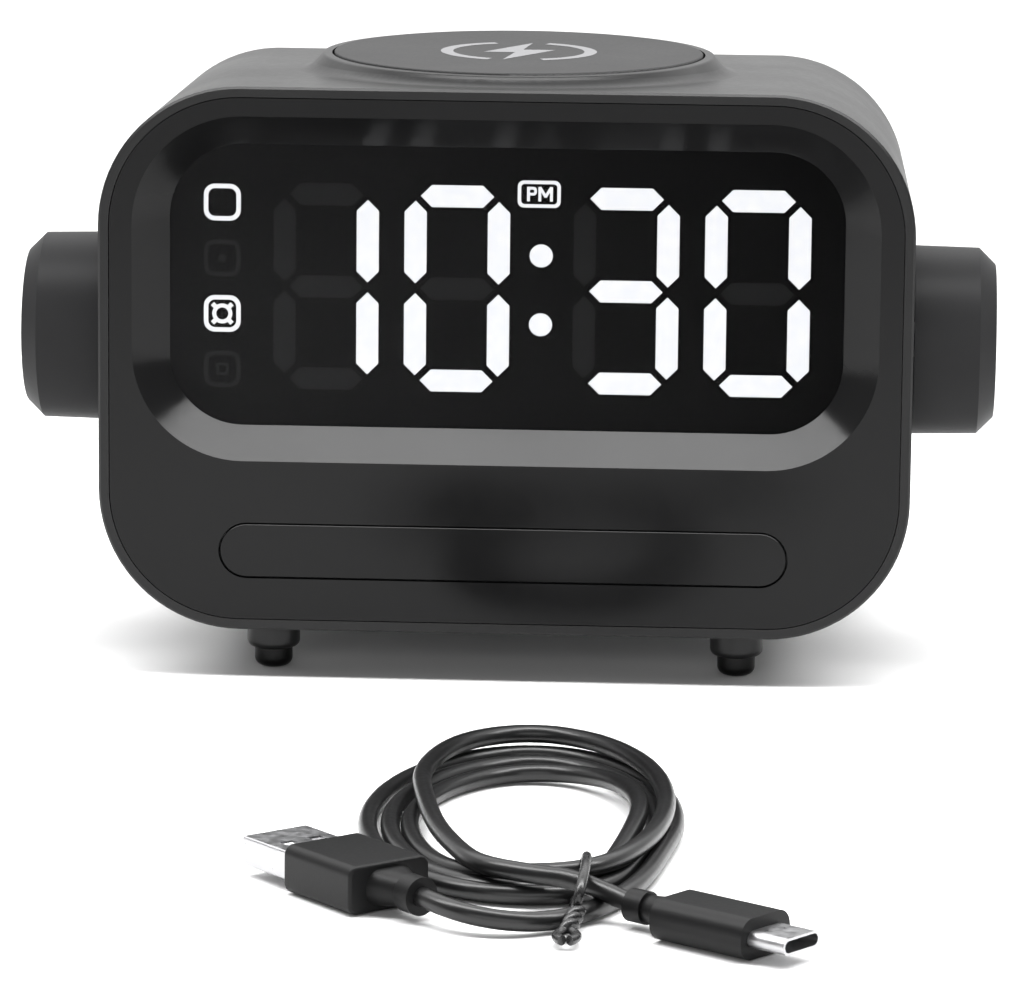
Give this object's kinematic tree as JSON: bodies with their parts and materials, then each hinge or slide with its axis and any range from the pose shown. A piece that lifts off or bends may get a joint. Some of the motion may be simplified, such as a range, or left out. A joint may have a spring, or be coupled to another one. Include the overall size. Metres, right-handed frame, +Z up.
{
  "type": "alarm clock",
  "caption": "Bedside alarm clock with a large numeric display, a knob on each side, a snooze bar and a round charging pad on top, with its loose USB lead.",
  "frame": {"origin": "on the surface the clock stands on, under the middle of its width and depth", "axes": "+Z up, -Y out of the display, +X to the viewer's right"},
  "size_m": [0.1688, 0.2671, 0.105],
  "materials": {
    "housing_plastic": "matte black moulded plastic, fine spark texture",
    "cover_plastic": "matte black moulded plastic",
    "panel_gloss": "gloss black moulded plastic",
    "smoked_lens": "smoked acrylic, gloss",
    "display_black": "matte black",
    "light_on": "lit white light guide",
    "light_off": "unlit light guide behind smoked lens",
    "led_body": "small white LED",
    "circuit_board": "green solder mask",
    "chip_black": "black moulded package",
    "capacitor_can": "sleeved can",
    "bright_steel": "bright steel",
    "screw_steel": "zinc plated steel",
    "knob_plastic": "matte black, finely textured",
    "pad_rubber": "matte black, soft touch",
    "copper_wire": "enamelled copper litz wire",
    "ferrite": "sintered ferrite sheet",
    "speaker_metal": "pressed steel",
    "switch_button": "white nylon",
    "ribbon_white": "flat ribbon cable",
    "cable_jacket": "smooth black cable jacket",
    "plug_mould": "black overmould",
    "plug_metal": "nickel plated steel",
    "tongue_plastic": "white plastic insulator",
    "tie_wire": "plastic coated wire",
    "foot_rubber": "soft black rubber"
  },
  "bodies": {
    "clock_case": {"backup_cell": "bright_steel", "board_screws": "screw_steel", "cable_tie": "tie_wire", "capacitors": "capacitor_can", "cell_holder": "chip_black", "charger_board": "circuit_board", "charger_parts": "chip_black", "charging_coil": "copper_wire", "charging_disc": "pad_rubber", "colon_dots": "light_on", "controller_chip": "chip_black", "cover_screws": "screw_steel", "display_block": "display_black", "display_board": "circuit_board", "display_driver": "chip_black", "display_leds": "led_body", "display_lens": "smoked_lens", "display_ribbon": "ribbon_white", "ferrite_sheet": "ferrite", "front_left_foot_post": "housing_plastic", "front_left_foot_tip": "foot_rubber", "front_panel": "panel_gloss", "front_right_foot_post": "housing_plastic", "front_right_foot_tip": "foot_rubber", "left_encoder_board": "circuit_board", "left_encoder_body": "chip_black", "lit_icons": "light_on", "lit_segments": "light_on", "main_board": "circuit_board", "main_housing": "housing_plastic", "pm_icon": "light_on", "rear_cover": "cover_plastic", "rear_left_foot_post": "housing_plastic", "rear_left_foot_tip": "foot_rubber", "rear_right_foot_post": "housing_plastic", "rear_right_foot_tip": "foot_rubber", "right_encoder_board": "circuit_board", "right_encoder_body": "chip_black", "snooze_switch": "chip_black", "speaker": "speaker_metal", "unlit_icons": "light_off", "unlit_segments": "light_off", "usb_a_mould": "plug_mould", "usb_a_relief": "plug_mould", "usb_a_shell": "plug_metal", "usb_a_tongue": "tongue_plastic", "usb_c_mould": "plug_mould", "usb_c_relief": "plug_mould", "usb_c_socket": "bright_steel", "usb_c_tip": "plug_metal", "usb_coil": "cable_jacket", "usb_lead_a": "cable_jacket", "usb_lead_c": "cable_jacket"},
    "left_dial": {"left_knob": "knob_plastic", "left_encoder_shaft": "screw_steel"},
    "right_dial": {"right_knob": "knob_plastic", "right_encoder_shaft": "screw_steel"},
    "snooze_key": {"snooze_bar": "panel_gloss", "snooze_plunger": "switch_button"}
  },
  "joints": [
    {"name": "left_knob_turn", "type": "hinge", "parent": "clock_case", "child": "left_dial", "pos_m": [-0.0772, -0.0215, 0.058], "axis": [-1, 0, 0], "continuous": true},
    {"name": "right_knob_turn", "type": "hinge", "parent": "clock_case", "child": "right_dial", "pos_m": [0.0772, -0.0215, 0.058], "axis": [1, 0, 0], "continuous": true},
    {"name": "snooze_press", "type": "slide", "parent": "clock_case", "child": "snooze_key", "axis": [0, 1, 0], "range_m": [0, 0.0008], "stiffness_N_per_m": 1500, "springref_m": -0.0004}
  ]
}
